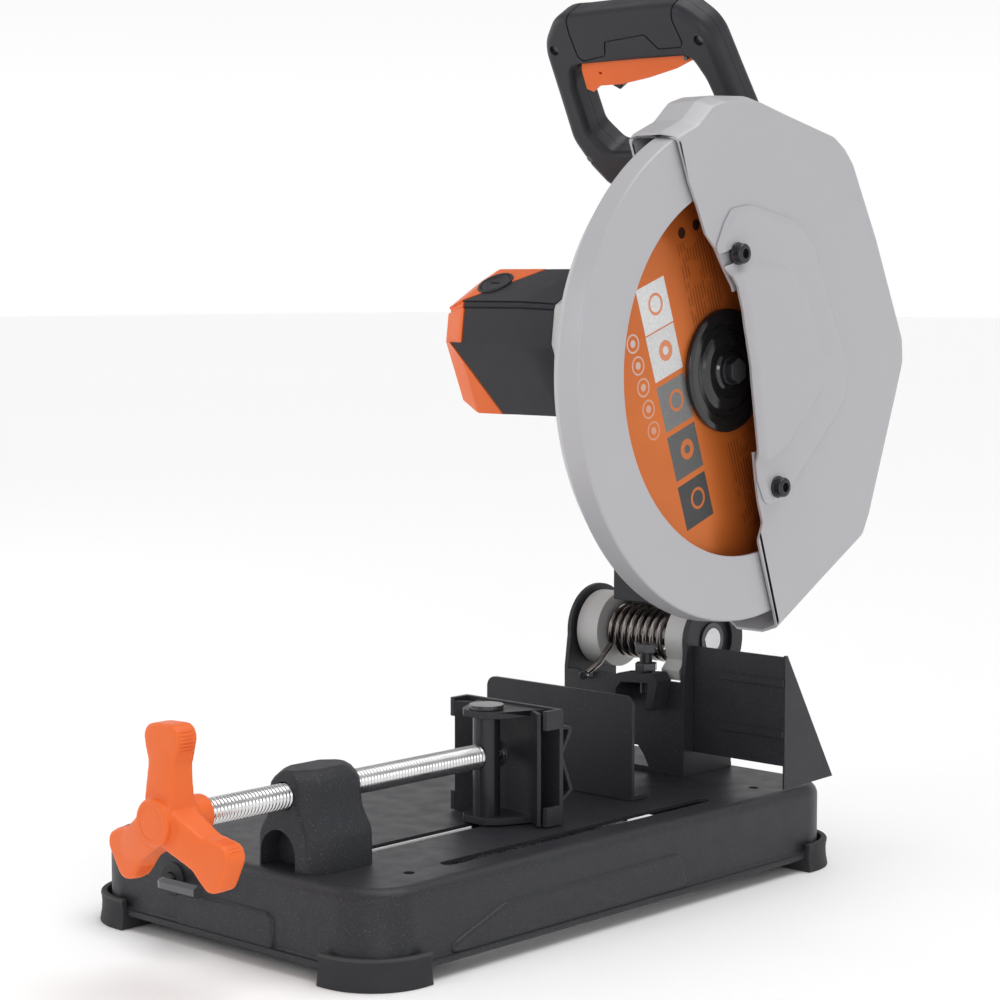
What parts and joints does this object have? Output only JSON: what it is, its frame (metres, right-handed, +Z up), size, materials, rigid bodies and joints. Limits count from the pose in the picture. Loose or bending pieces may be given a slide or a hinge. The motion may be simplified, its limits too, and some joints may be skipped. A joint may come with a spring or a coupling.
{
  "type": "abrasive chop saw",
  "caption": "Bench cut-off saw: pressed steel base with screw vise and fence, sprung tilting motor head, toothed disc behind a fixed and a swinging guard.",
  "frame": {"origin": "on the bench under the middle of the base; the centre of the whole object's box is 5 mm or less away in X and Y", "axes": "+X across the base towards the disc side, +Y along the base towards the pivot at the rear, +Z up"},
  "size_m": [0.32, 0.7116, 0.6817],
  "materials": {
    "powder_coat": "matt textured powder coat",
    "guard_paint": "satin light grey paint",
    "cast_alloy": "painted die casting",
    "black_plastic": "fine-grained black nylon",
    "orange_plastic": "satin moulded plastic",
    "rubber": "matt moulded rubber",
    "zinc_steel": "bright zinc plate",
    "black_oxide": "black oxide",
    "bright_steel": "turned steel",
    "spring_steel": "dark oiled spring wire",
    "cast_iron": "painted casting",
    "bronze": "machined bush",
    "disc_print": "orange coated disc",
    "lamination": "stacked sheet and copper winding",
    "copper": "machined copper bars",
    "carbon": "pressed carbon"
  },
  "bodies": {
    "base": {"base_tray": "powder_coat", "rubber_feet": "rubber", "foot_screws": "zinc_steel", "key_grommet": "rubber", "base_bolts": "zinc_steel", "pivot_bracket": "powder_coat", "pivot_shaft": "bright_steel", "shaft_rings": "black_oxide", "torsion_spring": "spring_steel", "stop_bracket": "powder_coat", "stop_nut": "zinc_steel", "deflector": "powder_coat", "deflector_screws": "zinc_steel", "vise_block": "cast_iron", "vise_nut": "bronze", "fence_pivot_bolt": "zinc_steel"},
    "fence": {"fence": "powder_coat", "fence_lock_bolt": "zinc_steel"},
    "stop_bolt": {"stop_bolt": "zinc_steel"},
    "lock_pin": {"lock_pin": "black_oxide"},
    "hex_key": {"hex_key": "zinc_steel"},
    "jaw_carriage": {"jaw_pin": "black_oxide"},
    "vise_screw": {"vise_screw": "zinc_steel", "vise_knob": "orange_plastic", "screw_clip": "zinc_steel"},
    "jaw": {"jaw_frame": "powder_coat", "jaw_v_plate": "powder_coat"},
    "head": {"gear_housing": "cast_alloy", "pivot_arm": "cast_alloy", "arm_shield": "powder_coat", "motor_housing": "black_plastic", "motor_end_cap": "orange_plastic", "brush_caps": "black_plastic", "carbon_brushes": "carbon", "stator": "lamination", "motor_bearings": "bright_steel", "spindle_bearings": "bright_steel", "fixed_guard": "guard_paint", "guard_bolts": "black_oxide", "handle_neck": "black_plastic", "handle_front_shell": "black_plastic", "handle_rear_shell": "black_plastic", "handle_screws": "black_oxide", "trigger_switch": "black_plastic", "cord_gland": "rubber"},
    "arbor_cover": {"arbor_cover": "guard_paint"},
    "moving_guard": {"moving_guard": "guard_paint"},
    "spindle": {"spindle": "bright_steel", "output_gear": "bright_steel", "saw_disc": "disc_print", "inner_flange": "black_oxide", "outer_flange": "black_oxide", "arbor_bolt": "zinc_steel"},
    "armature": {"armature_shaft": "bright_steel", "rotor_pack": "lamination", "commutator": "copper", "cooling_fan": "black_plastic"},
    "trigger": {"trigger": "orange_plastic"},
    "lock_off": {"lock_off": "black_plastic"},
    "spindle_lock": {"spindle_lock": "black_plastic"}
  },
  "joints": [
    {"name": "head_tilt", "type": "hinge", "parent": "base", "child": "head", "pos_m": [0, 0.22, 0.1705], "axis": [1, 0, 0], "range_deg": [0, 57], "stiffness_Nm_per_rad": 30, "springref_deg": -28.65},
    {"name": "guard_swing", "type": "hinge", "parent": "head", "child": "moving_guard", "pos_m": [0.1, 0.144, 0.39], "axis": [1, 0, 0], "range_deg": [-114, 0]},
    {"name": "arbor_cover_swing", "type": "hinge", "parent": "head", "child": "arbor_cover", "pos_m": [0.139, 0.1764, 0.3016], "axis": [1, 0, 0], "range_deg": [-70, 0]},
    {"name": "disc_spin", "type": "hinge", "parent": "head", "child": "spindle", "pos_m": [0, 0.144, 0.39], "axis": [1, 0, 0], "continuous": true},
    {"name": "motor_spin", "type": "hinge", "parent": "head", "child": "armature", "pos_m": [0, 0.18, 0.407], "axis": [1, 0, 0], "continuous": true},
    {"name": "trigger_pull", "type": "hinge", "parent": "head", "child": "trigger", "pos_m": [0.053, 0.18565, 0.63476], "axis": [0, 0.848, 0.5299], "range_deg": [0, 5], "stiffness_Nm_per_rad": 3, "springref_deg": -8.59},
    {"name": "lock_off_press", "type": "slide", "parent": "trigger", "child": "lock_off", "axis": [0, -0.5299, 0.848], "range_m": [0, 0.003], "stiffness_N_per_m": 300, "springref_m": -0.003},
    {"name": "spindle_lock_press", "type": "slide", "parent": "head", "child": "spindle_lock", "axis": [0, 1, 0], "range_m": [0, 0.0035], "stiffness_N_per_m": 400, "springref_m": -0.004},
    {"name": "fence_turn", "type": "hinge", "parent": "base", "child": "fence", "pos_m": [0.062, 0.0924, 0.065], "axis": [0, 0, 1], "range_deg": [-30, 45]},
    {"name": "stop_bolt_set", "type": "slide", "parent": "base", "child": "stop_bolt", "axis": [0, 0, 1], "range_m": [-0.004, 0]},
    {"name": "lock_pin_push", "type": "slide", "parent": "base", "child": "lock_pin", "axis": [-1, 0, 0], "range_m": [0, 0.006]},
    {"name": "key_pull", "type": "slide", "parent": "base", "child": "hex_key", "axis": [0, -1, 0], "range_m": [0, 0.085]},
    {"name": "screw_turn", "type": "hinge", "parent": "jaw_carriage", "child": "vise_screw", "pos_m": [0.048, 0, 0.1145], "axis": [0, -1, 0], "range_deg": [-6240, 14400]},
    {"name": "jaw_slide", "type": "slide", "parent": "base", "child": "jaw_carriage", "axis": [0, -1, 0], "range_m": [-0.0521, 0.1201]},
    {"name": "jaw_swivel", "type": "hinge", "parent": "jaw_carriage", "child": "jaw", "pos_m": [0.048, -0.0445, 0.1145], "axis": [0, 0, 1], "range_deg": [-30, 30]}
  ],
  "couplings": [
    {"joint": "guard_swing", "follows": "head_tilt", "ratio": -2},
    {"joint": "motor_spin", "follows": "disc_spin", "ratio": -3.5},
    {"joint": "jaw_slide", "follows": "screw_turn", "m_per_rad": 0.00047746}
  ]
}
